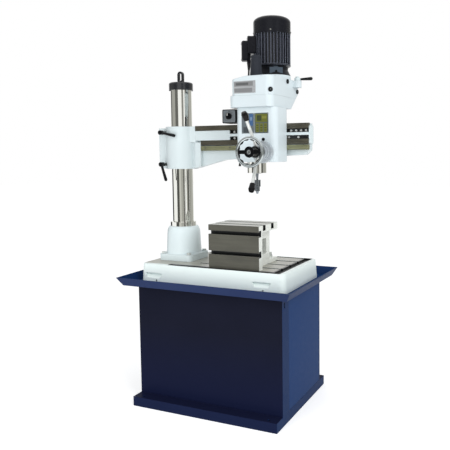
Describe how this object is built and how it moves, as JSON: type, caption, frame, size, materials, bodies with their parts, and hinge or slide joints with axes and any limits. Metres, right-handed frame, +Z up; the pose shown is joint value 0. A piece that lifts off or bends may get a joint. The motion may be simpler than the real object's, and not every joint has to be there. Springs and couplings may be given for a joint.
{
  "type": "radial arm drill",
  "caption": "Radial arm drilling machine with finned motor, geared head, clamped arm on a round column and a T-slotted base on a navy sheet-metal stand.",
  "frame": {"origin": "on the floor, at the centre of the stand's four floor bolts", "axes": "+X along the arm from column to head, +Y to the back, +Z up"},
  "size_m": [0.948, 0.68, 1.95],
  "materials": {
    "casting_paint": "semi-gloss pale paint on iron",
    "stand_paint": "navy paint on sheet steel",
    "table_iron": "machined faces, painted ends",
    "bright_steel": "polished",
    "ground_iron": "ground and oiled",
    "rack_steel": "oiled, olive tint",
    "plain_steel": "turned",
    "dial_aluminium": "satin",
    "black_paint": "satin black",
    "black_plastic": "gloss black",
    "black_rubber": "matt"
  },
  "bodies": {
    "base": {"stand_cabinet": "stand_paint", "side_panel": "stand_paint", "stand_feet": "stand_paint", "chip_tray": "stand_paint", "base_casting": "casting_paint", "hold_down_bolts": "plain_steel", "box_table": "table_iron", "table_bolts": "plain_steel", "column_base": "casting_paint", "column": "bright_steel", "column_ring": "bright_steel", "column_cap": "black_paint", "lifting_eye": "black_paint"},
    "swing_rack": {"elevating_rack": "plain_steel"},
    "arm": {"arm_casting": "casting_paint", "arm_ways": "ground_iron", "arm_screws": "bright_steel", "traverse_rack": "rack_steel", "rack_screws": "plain_steel", "arm_end_plate": "casting_paint", "clamp_studs": "plain_steel"},
    "upper_clamp": {"upper_clamp_lever": "black_plastic"},
    "lower_clamp": {"lower_clamp_lever": "black_plastic"},
    "elevating": {"elevating_pinion": "plain_steel", "crank_socket": "plain_steel"},
    "head": {"head_casting": "casting_paint", "saddle_keepers": "plain_steel", "gearbox_case": "casting_paint", "gearbox_cover": "casting_paint", "blanking_plugs": "black_plastic", "sleeve_bearing": "plain_steel", "switch_box": "black_plastic", "switch_plate": "dial_aluminium", "motor_adapter": "black_paint", "motor_frame": "black_paint", "motor_cowl": "black_paint", "terminal_box": "black_paint", "motor_lead": "black_rubber", "spindle_cover": "black_paint", "feed_flange": "dial_aluminium", "return_spring": "plain_steel"},
    "switch": {"switch_knob": "black_plastic"},
    "head_lock": {"head_lock_knob": "black_plastic"},
    "speed": {"speed_lever": "black_plastic"},
    "rotor": {"motor_rotor": "plain_steel"},
    "lay": {"layshaft": "plain_steel"},
    "drive": {"spindle_gear": "plain_steel"},
    "feed": {"feed_shaft": "plain_steel", "depth_dial": "dial_aluminium", "feed_hub": "bright_steel", "feed_levers": "bright_steel", "feed_knobs": "black_plastic"},
    "wheel": {"handwheel_shaft": "bright_steel", "handwheel_rim": "bright_steel", "handwheel_hub": "black_plastic"},
    "quill_body": {"quill": "bright_steel", "quill_bearings": "plain_steel"},
    "spindle_body": {"spindle": "bright_steel", "drill_chuck": "bright_steel"}
  },
  "joints": [
    {"name": "arm_swing", "type": "hinge", "parent": "base", "child": "swing_rack", "pos_m": [-0.284, 0, 1.2], "axis": [0, 0, 1], "range_deg": [-170, 170]},
    {"name": "arm_lift", "type": "slide", "parent": "swing_rack", "child": "arm", "axis": [0, 0, 1], "range_m": [-0.14, 0.18]},
    {"name": "elevating_turn", "type": "hinge", "parent": "arm", "child": "elevating", "pos_m": [-0.284, 0.0895, 1.31], "axis": [1, 0, 0], "range_deg": [-600, 600]},
    {"name": "upper_clamp_turn", "type": "hinge", "parent": "arm", "child": "upper_clamp", "pos_m": [-0.353, -0.09, 1.39], "axis": [0, 1, 0], "range_deg": [-60, 30]},
    {"name": "lower_clamp_turn", "type": "hinge", "parent": "arm", "child": "lower_clamp", "pos_m": [-0.353, -0.09, 1.224], "axis": [0, 1, 0], "range_deg": [-60, 30]},
    {"name": "head_slide", "type": "slide", "parent": "arm", "child": "head", "axis": [1, 0, 0], "range_m": [-0.19, 0.095]},
    {"name": "handwheel_turn", "type": "hinge", "parent": "head", "child": "wheel", "pos_m": [0.269, -0.2, 1.283], "axis": [0, 1, 0], "range_deg": [-470, 920]},
    {"name": "quill_feed", "type": "slide", "parent": "head", "child": "quill_body", "axis": [0, 0, 1], "range_m": [-0.12, 0], "stiffness_N_per_m": 400, "springref_m": 0.6},
    {"name": "feed_turn", "type": "hinge", "parent": "head", "child": "feed", "pos_m": [0.269, -0.2, 1.283], "axis": [0, 1, 0], "range_deg": [-310, 5]},
    {"name": "spindle_spin", "type": "hinge", "parent": "quill_body", "child": "spindle_body", "pos_m": [0.203, -0.0933, 1.3], "axis": [0, 0, 1], "continuous": true},
    {"name": "drive_spin", "type": "hinge", "parent": "head", "child": "drive", "pos_m": [0.203, -0.0933, 1.53], "axis": [0, 0, 1], "continuous": true},
    {"name": "layshaft_spin", "type": "hinge", "parent": "head", "child": "lay", "pos_m": [0.245, -0.02521, 1.56], "axis": [0, 0, 1], "continuous": true},
    {"name": "rotor_spin", "type": "hinge", "parent": "head", "child": "rotor", "pos_m": [0.223, 0.0517, 1.8], "axis": [0, 0, 1], "continuous": true},
    {"name": "speed_lever_turn", "type": "hinge", "parent": "head", "child": "speed", "pos_m": [0.339, 0.0997, 1.63], "axis": [0, 0, 1], "range_deg": [-20, 20]},
    {"name": "switch_turn", "type": "hinge", "parent": "head", "child": "switch", "pos_m": [0.083, -0.155, 1.457], "axis": [0, 1, 0], "range_deg": [-45, 45]},
    {"name": "head_lock_turn", "type": "hinge", "parent": "head", "child": "head_lock", "pos_m": [0.134, -0.1423, 1.236], "axis": [0, 0, 1], "range_deg": [-60, 60]}
  ],
  "couplings": [
    {"joint": "elevating_turn", "follows": "arm_lift", "rad_per_m": 57.143},
    {"joint": "handwheel_turn", "follows": "head_slide", "rad_per_m": -83.333},
    {"joint": "feed_turn", "follows": "quill_feed", "rad_per_m": 44.444},
    {"joint": "drive_spin", "follows": "spindle_spin", "ratio": 1},
    {"joint": "layshaft_spin", "follows": "spindle_spin", "ratio": -1.9091},
    {"joint": "rotor_spin", "follows": "spindle_spin", "ratio": 4.2}
  ]
}
